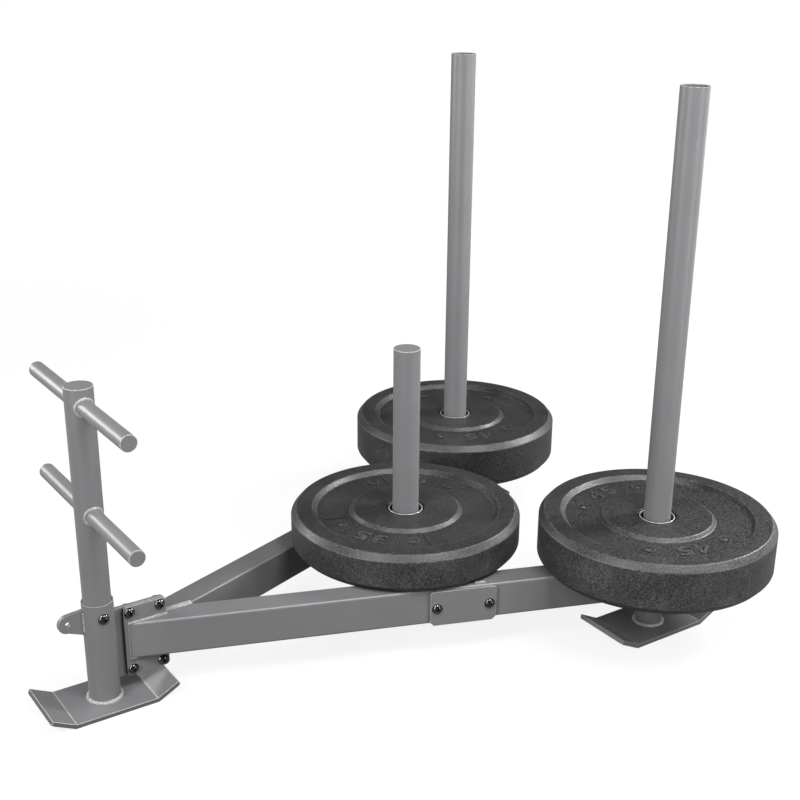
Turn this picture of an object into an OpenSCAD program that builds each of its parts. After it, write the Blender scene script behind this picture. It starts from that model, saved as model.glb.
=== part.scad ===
// Push sled: a three-legged V of steel tube on bent skis, with a push handle at the point of
// the V, three weight posts and three rubber weight plates.
// +X runs from the handle post to the two tall posts, +Y to the far side, +Z up.
// The origin is on the floor, under the axis of the handle post.

/* [Layout] */
// Handle post axis to the line of the two tall posts
rear_x = 985; // [900:5:1100]
// Distance between the axes of the two tall posts
post_spread = 650; // [580:5:720]
// Handle post axis to the point where the two rail centrelines would meet
apex_x = 92; // [80:1:100]
// Handle post axis to the centre post and its cross member
centre_x = 631; // [590:1:680]

/* [Rails] */
// Width of the rectangular rail tube
rail_w = 50.8; // [46:0.1:60]
// Height of the rectangular rail tube
rail_h = 70; // [60:1:80]
// Wall of the rail tube and of the cross member
rail_wall = 3; // [2:0.5:4]
// Outer corner radius of the rail tube and of the cross member
rail_corner = 5; // [4:0.5:7]
// Underside of the rails above the floor
rail_z = 70; // [60:1:90]
// How far a rail runs on behind its tall post
rail_tail = 42; // [36:1:60]

/* [Skis] */
// Width of a ski
ski_w = 120; // [100:1:140]
// Thickness of the ski plate
ski_t = 8; // [6:0.5:10]
// Flat length of the front ski
front_flat = 151; // [130:1:170]
// Flat length of a rear ski
rear_flat = 165; // [140:1:180]
// Length of each bent-up ski end
flap_len = 47; // [38:1:56]
// Angle of the bent-up ski ends
flap_angle = 27; // [20:1:35]
// Corner radius of a ski, seen from above
ski_corner = 5; // [2:1:12]

/* [Weight posts] */
// Outer diameter of the three weight posts
post_d = 50.8; // [46:0.2:54]
// Wall of the weight posts
post_wall = 3; // [2:0.5:4]
// Rise of the two tall posts above the rails
tall_rise = 882; // [700:1:1000]
// Rise of the centre post above its cross member
centre_rise = 396; // [300:1:500]

/* [Handle] */
// Outer diameter of the handle post
handle_d = 48.3; // [44:0.1:50]
// Wall of the handle post
handle_wall = 2.6; // [2:0.1:3.5]
// Top of the handle post above the floor
handle_top = 583; // [540:1:700]
// Outer diameter of the socket that holds the handle post
socket_d = 54.5; // [54.5:0.1:60]
// Radial gap between the handle post and the socket
socket_gap = 0.8; // [0.3:0.1:0.9]
// Rim of the socket above the floor
socket_top = 197; // [190:1:240]
// Outer diameter of the two hand grips
grip_d = 28; // [24:0.5:32]
// Wall of the hand grips
grip_wall = 2; // [1.5:0.1:3]
// Length of a hand grip, end to end
grip_len = 404; // [320:1:460]
// Top of the handle post down to the axis of the upper grip
grip_drop = 31; // [24:1:60]
// Distance between the axes of the two grips
grip_pitch = 190; // [120:1:220]
// Thickness of the discs that close the posts and the grips
disc_t = 4; // [2:0.5:6]

/* [Apex joint] */
// Thickness of the spine plate that is welded to the socket
spine_t = 8; // [6:0.5:10]
// Thickness of the flange plate on the near rail and of the tip plate on the far rail
flange_t = 6; // [4:0.5:8]
// Front edge of the flange plate and the tip plate from the handle post axis
flange_x = 39; // [38:1:42]
// Length of the flange plate and of the tip plate
flange_l = 81; // [76:1:90]
// Height of the flange plate and of the spine plate, centred on the rails
flange_h = 135; // [130:1:138]
// Corner radius of the flange plate
flange_corner = 8; // [4:1:12]
// Bolt spacing along the flange plate
flange_pitch_x = 56; // [48:1:58]
// Bolt spacing up the flange plate
flange_pitch_z = 111; // [104:1:112]
// How far the tip plate on the far rail stands out above and below the rail
tip_lap = 5; // [3:1:8]

/* [Tow tab] */
// Thickness of the tow tab
tab_t = 8; // [6:0.5:12]
// Handle post axis to the tow hole
tab_x = 55; // [48:1:64]
// Tow hole above the floor
tab_z = 167; // [160:1:172]
// Radius of the rounded end of the tow tab
tab_r = 17; // [13:0.5:20]
// Diameter of the tow hole
tab_hole = 8.5; // [8:0.5:14]
// How much lower the tow tab reaches at the socket than at its end
tab_flare = 11; // [4:1:20]
// How much higher the tow tab reaches at the socket than at its end
tab_rise = 2; // [1:0.5:6]

/* [Cross member] */
// Width of the cross member tube
cross_w = 50.8; // [40:0.1:51]
// Thickness of its end plates and of the outer bracket plates
bracket_t = 6; // [4:0.5:8]
// Length of the end plates and of the outer bracket plates
bracket_l = 126; // [122:1:140]
// Height of the end plates and of the outer bracket plates
bracket_h = 70; // [60:1:72]
// Corner cut of the outer bracket plates
bracket_cut = 7; // [3:1:12]
// Bolt spacing along a bracket plate
bracket_pitch = 100; // [98:1:104]
// How far the bracket bolts sit ahead of the cross member
bracket_lead = 9; // [6:0.5:11]
// How far the outer bracket plates and their bolts sit below the rail's centreline
bracket_low = 2; // [0:0.5:2.5]

/* [Weight plates] */
// Diameter of the weight plates
plate_d = 445; // [430:1:450]
// Thickness of the two plates on the tall posts
rear_plate_t = 97; // [70:1:110]
// Thickness of the plate on the centre post
centre_plate_t = 76; // [50:1:90]
// Outer edge chamfer of a plate, across
chamfer_r = 10; // [6:0.5:14]
// Outer edge chamfer of a plate, down
chamfer_z = 12; // [6:0.5:16]
// Radius where the rim starts to fall to the recess
rim_r = 181; // [170:1:190]
// Radial width of the slope between the rim and the recess
slope_r = 8; // [4:0.5:12]
// Depth of the recess below the rim
recess_z = 9; // [5:0.5:12]
// Radius of the raised hub where it meets the recess
hub_r = 109; // [90:1:120]
// Radial width of the hub's sloped edge
hub_slope = 6; // [3:0.5:10]
// Hub face below the rim
hub_z = 2; // [1:0.5:4]
// Radius of the circle on which the ring bosses of a plate stand
ring_at = 141; // [135:1:147]
// Outer diameter of a ring boss
ring_d = 23; // [16:1:26]
// Height of a ring boss above the recess
ring_h = 1.5; // [0.5:0.5:3]
// Radius of the steel lip round the bore
lip_r = 34.5; // [32.5:0.5:38]
// Steel lip below the rim
lip_z = 5.5; // [4.5:0.5:8]
// Wall of the steel insert
insert_wall = 2.8; // [2:0.2:4]
// Radial gap between a plate's bore and its post
bore_gap = 0.8; // [0.4:0.1:0.9]

/* [Fasteners] */
// Diameter of the bolts
bolt_d = 10; // [8:1:12]
// Diameter of a button head
head_d = 20; // [16:0.5:20]
// Height of a button head
head_h = 6.2; // [4.5:0.1:7]
// Width across the flats of the hexagon socket in a head
key_af = 6; // [4:0.5:7]
// Width across the flats of a nut
nut_af = 16; // [15:0.5:18]
// Height of a lock nut
nut_h = 8; // [8:0.5:12]
// Diameter of a washer
washer_d = 20; // [18:0.5:20.5]
// Thickness of a washer
washer_t = 1.5; // [1:0.1:2.5]
// How far a bolt's end stands out of its nut
bolt_end = 1; // [0:0.5:3]
// Socket rim down to the axis of the handle bolt
handle_bolt_drop = 25; // [20:1:32]
// Radial clearance of a bolt in its hole
hole_gap = 0.5; // [0.3:0.1:0.8]
// Size of the weld beads round the feet of the tubes
bead = 6; // [3:0.5:7]
// Width of the weld seam along the mitre of the rails
seam_w = 10; // [6:1:14]
// Height of the weld seam
seam_h = 2; // [1:0.5:3]

/* [Hidden] */
$fn = 64;
eps = 0.01;
big = 2000;
paint = [0.47, 0.47, 0.48];
black = [0.08, 0.08, 0.08];
steel = [0.75, 0.75, 0.76];
rubber = [0.2, 0.2, 0.2];
post_y = post_spread / 2;
rail_angle = atan(post_y / (rear_x - apex_x));
rail_len = (rear_x - apex_x) / cos(rail_angle) + 2 * rail_w;
rail_top = rail_z + rail_h;
rail_mid = rail_z + rail_h / 2;
spine_near = 5;
near_face = spine_near + flange_t;
spine_far = spine_t - spine_near;
far_face = spine_far + flange_t;
handle_r = handle_d / 2;
socket_r = socket_d / 2;
socket_bore_r = handle_r + socket_gap;
hole_r = bolt_d / 2 + hole_gap;
bolt_line_x = flange_x + flange_l / 2;
handle_bolt_z = socket_top - handle_bolt_drop;
tab_ease = 0.3;
weld_fit = 0.1;
bore_r = post_d / 2 + bore_gap;
insert_r = bore_r + insert_wall;
lip_t = 8;
lip_gap = 1.5;
lip_edge = 1.5;
ring_wall = 2.5;
ring_angles = [0, 66, 202, 268];
near_turn = -140;
far_turn = 20;
centre_turn = 176;
plug_t = 4;
plug_depth = 22;
plug_fit = 0.2;
plug_corner = 1.5;
bead_ring = 2.5;
head_flat = 0.94;
key_floor = 0.35;
nut_hex = 0.72;
nut_collar = 0.92;

// Far side of the sled as drawn, near side mirrored
module side(far) {
    if (far)
        children();
    else
        mirror([0, 1, 0])
            children();
}

// Local frame of the far rail: origin at the tall post on the floor, +X to the rear along the rail
module at_far_rail() {
    translate([rear_x, post_y, 0])
        rotate([0, 0, rail_angle])
            children();
}

// Local frame of the far bracket, between its two bolts on the rail's centreline
module at_far_bracket() {
    at_far_rail()
        translate([-(rear_x - centre_x + bracket_lead) / cos(rail_angle), 0, 0])
            children();
}

module rounded_rect(w, h, r) {
    square([w - 2 * r, h], center = true);
    square([w, h - 2 * r], center = true);
    for (x = [-1, 1], y = [-1, 1])
        translate([x * (w / 2 - r), y * (h / 2 - r)])
            circle(r);
}

// Rectangular tube along +X, its section's centre on the axis
module box_tube(len, w, h) {
    rotate([90, 0, 90])
        linear_extrude(len)
            difference() {
                rounded_rect(w, h, rail_corner);
                rounded_rect(w - 2 * rail_wall, h - 2 * rail_wall, rail_corner - rail_wall);
            }
}

module round_tube(d, wall, h) {
    difference() {
        cylinder(d = d, h = h);
        translate([0, 0, -1])
            cylinder(d = d - 2 * wall, h = h + 2);
    }
}

// Rounded bead of weld round the foot of a tube that stands on a flat face
module foot_bead(r, size) {
    rotate_extrude()
        intersection() {
            translate([r, 0])
                circle(size);
            translate([r - size / 2, 0])
                square(2 * size);
        }
}

// The same bead where the face is a tube's top, no wider than the tube, which runs along X
module top_bead(width) {
    intersection() {
        foot_bead(post_d / 2, bead_ring);
        cube([2 * post_d, width, 4 * bead_ring], center = true);
    }
}

// Bent ski plate, its flat underside on the floor and centred on the origin
module ski_plate(flat) {
    half = flat / 2;
    run = flap_len * cos(flap_angle);
    rise = flap_len * sin(flap_angle);
    tip = half + run;
    inner = half - ski_t * tan(flap_angle / 2);
    tip_x = tip - ski_t * sin(flap_angle);
    tip_z = rise + ski_t * cos(flap_angle);
    color(paint)
        intersection() {
            rotate([90, 0, 0])
                linear_extrude(ski_w, center = true)
                    polygon([[-tip, rise], [-half, 0], [half, 0], [tip, rise], [tip_x, tip_z],
                        [inner, ski_t], [-inner, ski_t], [-tip_x, tip_z]]);
            linear_extrude(tip_z + 1)
                rounded_rect(2 * tip, ski_w, ski_corner);
        }
}

module front_ski() {
    ski_plate(front_flat);
}

module rear_ski(far) {
    side(far)
        translate([rear_x, post_y, 0])
            ski_plate(rear_flat);
}

// Tube that the handle post drops into, welded to the front ski
module handle_socket() {
    color(paint)
        difference() {
            translate([0, 0, ski_t]) {
                cylinder(r = socket_r, h = socket_top - ski_t);
                foot_bead(socket_r, bead);
            }
            translate([0, 0, ski_t - 1])
                cylinder(r = socket_bore_r, h = socket_top);
            handle_bolt_hole();
        }
}

module handle_bolt_hole() {
    translate([0, 0, handle_bolt_z])
        rotate([90, 0, 0])
            cylinder(r = hole_r, h = 3 * socket_d, center = true);
}

// Flat eye for a strap or a carabiner, welded to the front of the socket
module tow_tab() {
    end_r = tab_r - tab_ease;
    inside = eps - socket_r / 2;
    high = tab_z + tab_r + tab_rise;
    low = tab_z - tab_r - tab_flare;
    color(paint)
        difference() {
            rotate([90, 0, 0])
                linear_extrude(tab_t, center = true)
                    polygon([[-tab_x, tab_z + end_r], [-socket_r, high], [inside, high],
                        [inside, low], [-socket_r, low], [-tab_x, tab_z - end_r]]);
            translate([0, 0, tab_z - big / 2])
                cylinder(r = socket_r, h = big);
            at_tow_hole()
                cylinder(r = tab_r - eps, h = 2 * tab_t, center = true);
        }
    color(paint)
        difference() {
            at_tow_hole()
                cylinder(r = tab_r, h = tab_t, center = true);
            at_tow_hole()
                cylinder(d = tab_hole, h = 2 * tab_t, center = true);
        }
}

module at_tow_hole() {
    translate([-tab_x, 0, tab_z])
        rotate([90, 0, 0])
            children();
}

// Plate on the centre plane, welded to the back of the socket
module spine_plate() {
    end = flange_x + flange_l;
    color(paint)
        difference() {
            translate([0, spine_far, rail_mid])
                rotate([90, 0, 0])
                    linear_extrude(spine_t)
                        difference() {
                            union() {
                                translate([end / 2, 0])
                                    square([end, flange_h - 2 * flange_corner], center = true);
                                translate([(end - flange_corner) / 2, 0])
                                    square([end - flange_corner, flange_h], center = true);
                                for (z = [-1, 1])
                                    translate([end - flange_corner, z * (flange_h / 2 - flange_corner)])
                                        circle(flange_corner);
                            }
                            flange_holes();
                        }
            translate([0, 0, -1])
                cylinder(r = socket_r, h = big);
        }
}

// Four holes of the apex joint, drawn in the plane of its plates
module flange_holes() {
    for (x = [-1, 1], z = [-1, 1])
        translate([bolt_line_x + x * flange_pitch_x / 2, z * flange_pitch_z / 2])
            circle(hole_r);
}

// Plate on the tip of the near rail, bolted to the spine plate
module flange_plate() {
    color(paint)
        translate([0, -spine_near, rail_mid])
            rotate([90, 0, 0])
                linear_extrude(flange_t)
                    difference() {
                        translate([bolt_line_x, 0])
                            rounded_rect(flange_l, flange_h, flange_corner);
                        flange_holes();
                    }
}

// Plate that closes the tip of the far rail and holds the spine plate from its far side
module tip_plate() {
    color(paint)
        translate([bolt_line_x, far_face, rail_mid])
            rotate([90, 0, 0])
                linear_extrude(flange_t)
                    rounded_rect(flange_l, rail_h + 2 * tip_lap, flange_corner);
}

// Rail: mitred on the centre plane, and cut back for the plate on its tip
module rail(far) {
    face = far ? far_face : near_face;
    color(paint)
        side(far)
            difference() {
                at_far_rail() {
                    translate([-rail_len, 0, rail_mid])
                        box_tube(rail_len + rail_tail, rail_w, rail_h);
                }
                translate([-big / 2, -big, -1])
                    cube([big, big, big]);
                translate([-big / 2, -1, -1])
                    cube([big / 2 + flange_x + flange_l + hole_gap, 1 + face, big]);
                at_far_bracket()
                    bracket_holes();
            }
}

// Weld seams along the mitre, on top of the rails and below them
module apex_welds() {
    front = flange_x + flange_l + hole_gap;
    crotch = apex_x + rail_w / 2 / sin(rail_angle);
    r = (pow(seam_w / 2, 2) + pow(seam_h, 2)) / (2 * seam_h);
    color(paint)
        for (up = [0, 1])
            translate([0, 0, rail_mid])
                mirror([0, 0, up])
                    translate([front, 0, rail_h / 2])
                        rotate([90, 0, 90])
                            linear_extrude(crotch + seam_w / 2 - front)
                                intersection() {
                                    translate([0, seam_h - r])
                                        circle(r);
                                    translate([-seam_w / 2, 0])
                                        square(seam_w);
                                }
}

module bracket_holes() {
    for (x = [-1, 1])
        translate([x * bracket_pitch / 2, 0, rail_mid - bracket_low])
            rotate([90, 0, 0])
                cylinder(r = hole_r, h = 2 * rail_w, center = true);
}

// Plastic plugs in the rear ends of the two rails
module rail_end_plugs() {
    color(black)
        for (far = [true, false])
            side(far)
                at_far_rail()
                    translate([rail_tail, 0, rail_mid])
                        rotate([90, 0, 90]) {
                            linear_extrude(plug_t)
                                rounded_rect(rail_w, rail_h, rail_corner);
                            translate([0, 0, -plug_depth + eps])
                                linear_extrude(plug_depth)
                                    difference() {
                                        rounded_rect(rail_w - 2 * (rail_wall + plug_fit),
                                            rail_h - 2 * (rail_wall + plug_fit), plug_corner);
                                        rounded_rect(rail_w - 2 * (2 * rail_wall + plug_fit),
                                            rail_h - 2 * (2 * rail_wall + plug_fit), plug_corner);
                                    }
                        }
}

// Tube between the rails, its ends cut along the end plates
module cross_member() {
    color(paint)
        difference() {
            translate([centre_x, -post_y, rail_mid])
                rotate([0, 0, 90])
                    box_tube(2 * post_y, cross_w, rail_h);
            for (far = [true, false])
                side(far)
                    at_far_rail()
                        translate([-rail_len, -rail_w / 2 - bracket_t, -1])
                            cube([2 * rail_len, big, big]);
        }
}

// Plate welded across the end of the cross member and bolted to the rail's inner face
module end_plate(far) {
    color(paint)
        side(far)
            at_far_bracket()
                difference() {
                    translate([0, -rail_w / 2, rail_mid])
                        rotate([90, 0, 0])
                            linear_extrude(bracket_t)
                                rounded_rect(bracket_l, bracket_h, flange_corner);
                    bracket_holes();
                }
}

// Loose plate under the bolt heads on the rail's outer face, with its lower corners cut off
module bracket_plate(far) {
    half = bracket_l / 2;
    top = bracket_h / 2;
    color(paint)
        side(far)
            at_far_bracket()
                difference() {
                    translate([0, rail_w / 2 + bracket_t, rail_mid - bracket_low])
                        rotate([90, 0, 0])
                            linear_extrude(bracket_t) {
                                polygon([[-half, top - bracket_cut], [-half, bracket_cut - top],
                                    [bracket_cut - half, -top], [half - bracket_cut, -top],
                                    [half, bracket_cut - top], [half, top - bracket_cut],
                                    [half - bracket_cut, top], [bracket_cut - half, top]]);
                                for (x = [-1, 1])
                                    translate([x * (half - bracket_cut), top - bracket_cut])
                                        circle(bracket_cut);
                            }
                    bracket_holes();
                }
}

module centre_post() {
    color(paint)
        translate([centre_x, 0, rail_top]) {
            round_tube(post_d, post_wall, centre_rise - disc_t);
            rotate([0, 0, 90])
                top_bead(cross_w);
        }
}

module post_cap(d, x, top) {
    color(paint)
        translate([x, 0, top - disc_t])
            cylinder(d = d, h = disc_t);
}

// Tall post: a tube with an open top, welded on top of the rail
module tall_post(far) {
    color(paint)
        side(far)
            at_far_rail()
                translate([0, 0, rail_top]) {
                    round_tube(post_d, post_wall, tall_rise);
                    top_bead(rail_w);
                }
}

// Leg: a short tube of the same size from the rear ski to the underside of the rail
module leg(far) {
    color(paint)
        side(far)
            at_far_rail() {
                translate([0, 0, ski_t]) {
                    round_tube(post_d, post_wall, rail_z - ski_t);
                    foot_bead(post_d / 2, bead);
                }
                translate([0, 0, rail_z])
                    mirror([0, 0, 1])
                        top_bead(rail_w);
            }
}

module grip_hole(z) {
    translate([0, 0, z])
        rotate([90, 0, 0])
            cylinder(d = grip_d + 2 * weld_fit, h = 3 * handle_d, center = true);
}

// Weld round a grip where it comes out of the post, a band that follows the post's curve
module grip_bead(z) {
    intersection() {
        translate([0, 0, z - grip_d])
            cylinder(r = handle_r + bead / 2, h = 2 * grip_d);
        translate([0, 0, z])
            rotate([90, 0, 0])
                cylinder(d = grip_d + bead, h = 2 * handle_d, center = true);
    }
}

// Post of the push handle, standing on the front ski inside its socket
module handle_post() {
    upper = handle_top - grip_drop;
    color(paint)
        difference() {
            union() {
                translate([0, 0, ski_t])
                    cylinder(r = handle_r, h = handle_top - disc_t - ski_t);
                grip_bead(upper);
                grip_bead(upper - grip_pitch);
            }
            translate([0, 0, ski_t - 1])
                cylinder(r = handle_r - handle_wall, h = handle_top);
            grip_hole(upper);
            grip_hole(upper - grip_pitch);
            handle_bolt_hole();
        }
}

// Hand grip: a tube across the handle post, closed by a disc at each end
module grip(z) {
    color(paint)
        translate([0, grip_len / 2 - disc_t, z])
            rotate([90, 0, 0])
                round_tube(grip_d, grip_wall, grip_len - 2 * disc_t);
}

module grip_end_discs() {
    upper = handle_top - grip_drop;
    color(paint)
        for (z = [upper, upper - grip_pitch], y = [-1, 1])
            translate([0, y * (grip_len - disc_t) / 2, z])
                rotate([90, 0, 0])
                    cylinder(d = grip_d, h = disc_t, center = true);
}

// Button-head bolt: the head stands on z = 0 and the shank runs down
module bolt(len) {
    dome = (pow(head_d / 2, 2) + pow(head_h, 2)) / (2 * head_h);
    color(black) {
        translate([0, 0, -len])
            cylinder(d = bolt_d, h = len + eps);
        difference() {
            rotate_extrude()
                intersection() {
                    translate([0, head_h - dome])
                        circle(dome);
                    square([head_d / 2, head_h * head_flat]);
                }
            translate([0, 0, head_h * key_floor])
                cylinder(d = key_af / cos(30), h = head_h, $fn = 6);
        }
    }
}

// Lock nut on z = 0, growing up, bored for its bolt
module nut() {
    color(black)
        difference() {
            union() {
                cylinder(d = nut_af / cos(30), h = nut_h * nut_hex, $fn = 6);
                cylinder(d = nut_af * nut_collar, h = nut_h);
            }
            translate([0, 0, -1])
                cylinder(d = bolt_d, h = nut_h + 2);
        }
}

module washer() {
    color(black)
        difference() {
            cylinder(d = washer_d, h = washer_t);
            translate([0, 0, -1])
                cylinder(r = hole_r, h = washer_t + 2);
        }
}

// Places children at the four apex bolts, on the flange plate or on the far face of the spine plate
module at_flange_bolts(far) {
    y = far ? spine_far : -near_face;
    for (x = [-1, 1], z = [-1, 1])
        translate([bolt_line_x + x * flange_pitch_x / 2, y, rail_mid + z * flange_pitch_z / 2])
            rotate([far ? -90 : 90, 0, 0])
                children();
}

module flange_bolts() {
    at_flange_bolts(false)
        bolt(near_face + spine_far + washer_t + nut_h + bolt_end);
}

module flange_washers() {
    at_flange_bolts(true)
        washer();
}

module flange_nuts() {
    at_flange_bolts(true)
        translate([0, 0, washer_t])
            nut();
}

// Places children at the four bracket bolts, facing out of the outer plate or into the frame
module at_bracket_bolts(out) {
    for (far = [true, false], x = [-1, 1])
        side(far)
            at_far_bracket()
                translate([x * bracket_pitch / 2, (out ? 1 : -1) * (rail_w / 2 + bracket_t),
                    rail_mid - bracket_low])
                    rotate([out ? -90 : 90, 0, 0])
                        children();
}

module bracket_bolts() {
    at_bracket_bolts(true)
        bolt(rail_w + 2 * bracket_t + washer_t + nut_h + bolt_end);
}

module bracket_washers() {
    at_bracket_bolts(false)
        washer();
}

module bracket_nuts() {
    at_bracket_bolts(false)
        translate([0, 0, washer_t])
            nut();
}

module handle_bolt() {
    translate([0, -socket_r, handle_bolt_z])
        rotate([90, 0, 0])
            bolt(socket_d + nut_h + bolt_end);
}

module handle_nut() {
    translate([0, socket_r, handle_bolt_z])
        rotate([-90, 0, 0])
            nut();
}

// Half section of a plate's rubber, from mid-thickness up: chamfer, rim, recess and hub
function plate_half(t) = [
    [plate_d / 2, t / 2 - chamfer_z],
    [plate_d / 2 - chamfer_r, t / 2],
    [rim_r, t / 2],
    [rim_r - slope_r, t / 2 - recess_z],
    [hub_r, t / 2 - recess_z],
    [hub_r - hub_slope, t / 2 - hub_z],
    [lip_r + lip_gap, t / 2 - hub_z],
    [lip_r + lip_gap, t / 2 - lip_z - lip_t],
    [insert_r, t / 2 - lip_z - lip_t],
];

module plate_rubber(t, turn) {
    upper = plate_half(t);
    lower = [for (i = [len(upper) - 1:-1:0]) [upper[i][0], -upper[i][1]]];
    color(rubber)
        translate([0, 0, rail_top + t / 2]) {
            rotate_extrude($fn = 180)
                polygon(concat(upper, lower));
            for (a = ring_angles, down = [0, 1])
                rotate([0, 0, turn + a])
                    mirror([0, 0, down])
                        translate([ring_at, 0, t / 2 - recess_z - eps])
                            difference() {
                                cylinder(d = ring_d, h = ring_h + eps);
                                translate([0, 0, -1])
                                    cylinder(d = ring_d - 2 * ring_wall, h = ring_h + 2);
                            }
        }
}

// Steel sleeve of a plate's bore, with a flared lip at each end
module plate_insert(t) {
    face = t / 2 - lip_z;
    flare = lip_r - lip_edge;
    upper = [[flare, face], [lip_r, face], [lip_r, face - lip_t], [insert_r, face - lip_t]];
    lower = [for (i = [len(upper) - 1:-1:0]) [upper[i][0], -upper[i][1]]];
    color(steel)
        translate([0, 0, rail_top + t / 2])
            rotate_extrude($fn = 96)
                polygon(concat([[bore_r, lip_t - face], [bore_r, face - lip_t]], upper, lower));
}

// Places a plate on a tall post; the plates are alike, so none is mirrored
module on_tall_post(far) {
    translate([rear_x, far ? post_y : -post_y, 0])
        children();
}

front_ski();
handle_socket();
tow_tab();
spine_plate();
flange_plate();
tip_plate();  // far_tip_plate
rail(false);  // near_rail
rail(true);  // far_rail
apex_welds();
rail_end_plugs();
cross_member();
end_plate(false);  // near_end_plate
end_plate(true);  // far_end_plate
bracket_plate(false);  // near_bracket_plate
bracket_plate(true);  // far_bracket_plate
centre_post();
post_cap(post_d, centre_x, rail_top + centre_rise);  // centre_post_cap
tall_post(false);  // near_tall_post
tall_post(true);  // far_tall_post
leg(false);  // near_leg
leg(true);  // far_leg
rear_ski(false);  // near_rear_ski
rear_ski(true);  // far_rear_ski
handle_post();
post_cap(handle_d, 0, handle_top);  // handle_post_cap
grip(handle_top - grip_drop);  // upper_grip
grip(handle_top - grip_drop - grip_pitch);  // lower_grip
grip_end_discs();
handle_bolt();
handle_nut();
flange_bolts();
flange_washers();
flange_nuts();
bracket_bolts();
bracket_washers();
bracket_nuts();
on_tall_post(false) plate_rubber(rear_plate_t, near_turn);  // near_plate_rubber
on_tall_post(false) plate_insert(rear_plate_t);  // near_plate_insert
on_tall_post(true) plate_rubber(rear_plate_t, far_turn);  // far_plate_rubber
on_tall_post(true) plate_insert(rear_plate_t);  // far_plate_insert
translate([centre_x, 0, 0]) plate_rubber(centre_plate_t, centre_turn);  // centre_plate_rubber
translate([centre_x, 0, 0]) plate_insert(centre_plate_t);  // centre_plate_insert
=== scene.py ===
"""Push sled: a three-legged V of painted steel tube on bent skis, with a push handle at its point,
three weight posts and three rubber weight plates."""

from math import cos, pi, radians, sin, sqrt

import bmesh
import bpy
from mathutils import Matrix, Vector, noise


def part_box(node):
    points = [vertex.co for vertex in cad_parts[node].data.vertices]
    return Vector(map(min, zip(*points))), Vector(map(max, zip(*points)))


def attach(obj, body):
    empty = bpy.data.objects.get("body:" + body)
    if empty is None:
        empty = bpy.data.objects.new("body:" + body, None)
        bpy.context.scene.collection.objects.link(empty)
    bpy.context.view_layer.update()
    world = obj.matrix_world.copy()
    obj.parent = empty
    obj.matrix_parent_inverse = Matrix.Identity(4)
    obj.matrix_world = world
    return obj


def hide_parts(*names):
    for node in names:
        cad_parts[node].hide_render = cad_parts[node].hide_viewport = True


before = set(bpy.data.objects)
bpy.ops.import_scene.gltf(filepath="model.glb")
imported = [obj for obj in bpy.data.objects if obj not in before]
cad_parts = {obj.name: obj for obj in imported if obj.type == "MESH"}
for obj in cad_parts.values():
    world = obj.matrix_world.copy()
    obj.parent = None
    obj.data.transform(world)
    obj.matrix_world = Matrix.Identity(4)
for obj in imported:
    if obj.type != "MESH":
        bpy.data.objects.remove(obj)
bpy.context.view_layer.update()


# Skis
# Each foot is a strip of 8 mm steel plate with both ends bent up, so that it rides over turf. The
# cut edges are broken with a file before the whole frame gets one coat of grey powder paint.
mm = 0.001


class Wire:
    """One output of a shader node. Sums, differences and products of wires add Math nodes."""

    def __init__(self, tree, socket):
        self.tree = tree
        self.socket = socket

    def node(self, kind, settings, values, output=0):
        """Adds a node with its settings, then the values or wires of its inputs."""
        made = self.tree.nodes.new(kind)
        for key, value in settings.items():
            if key == "stops":
                for stop, (place, level) in zip(made.color_ramp.elements, value):
                    stop.position = place
                    stop.color = (level, level, level, 1)
            else:
                setattr(made, key, value)
        for key, value in values.items():
            if isinstance(value, Wire):
                self.tree.links.new(value.socket, made.inputs[key])
            else:
                made.inputs[key].default_value = value
        return Wire(self.tree, made.outputs[output])

    def maths(self, operation, first, second):
        """A Math node's result for two wires or numbers."""
        return self.node("ShaderNodeMath", {"operation": operation}, {0: first, 1: second})

    def __add__(self, other):
        return self.maths("ADD", self, other)

    __radd__ = __add__

    def __sub__(self, other):
        return self.maths("SUBTRACT", self, other)

    def __rsub__(self, other):
        return self.maths("SUBTRACT", other, self)

    def __mul__(self, other):
        return self.maths("MULTIPLY", self, other)

    __rmul__ = __mul__

    def grain(self, size, detail=2.0):
        """Noise whose features are about size across, from 0 to 1, read at this wire's place."""
        values = {"Vector": self, "Scale": 1 / size, "Detail": detail}
        return self.node("ShaderNodeTexNoise", {}, values)

    def between(self, low, high):
        """This wire stretched so that low gives 0 and high gives 1, and held there outside."""
        stops = [(low, 0), (high, 1)]
        return self.node("ShaderNodeValToRGB", {"stops": stops}, {"Fac": self})

    def mixed(self, under, over):
        """One colour laid over another, as far as this wire says."""
        values = {0: self, 6: under, 7: over}
        return self.node("ShaderNodeMix", {"data_type": "RGBA"}, values, output=2)

    def tint(self, dark, light):
        """A colour from dark to light, as this wire goes from 0 to 1."""
        return self.mixed((*dark, 1), (*light, 1))

    def bump(self, depth, strength=1.0):
        """Normals of a surface that this wire raises by up to depth."""
        values = {"Height": self, "Distance": depth, "Strength": strength}
        return self.node("ShaderNodeBump", {}, values)

    def attribute(self, name):
        """The number that each face of the piece carries under a name."""
        return self.node("ShaderNodeAttribute", {"attribute_name": name}, {}, output=2)

    def feeds(self, shader, socket):
        """Joins this wire to an input of a shader."""
        self.tree.links.new(self.socket, shader.inputs[socket])


def new_finish(name):
    """A material, its shader, and the wire of the place on the piece in metres."""
    material = bpy.data.materials.new(name)
    material.use_nodes = True
    tree = material.node_tree
    shader = tree.nodes["Principled BSDF"]
    place = Wire(tree, tree.nodes.new("ShaderNodeTexCoord").outputs["Object"])
    return material, shader, place


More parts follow.
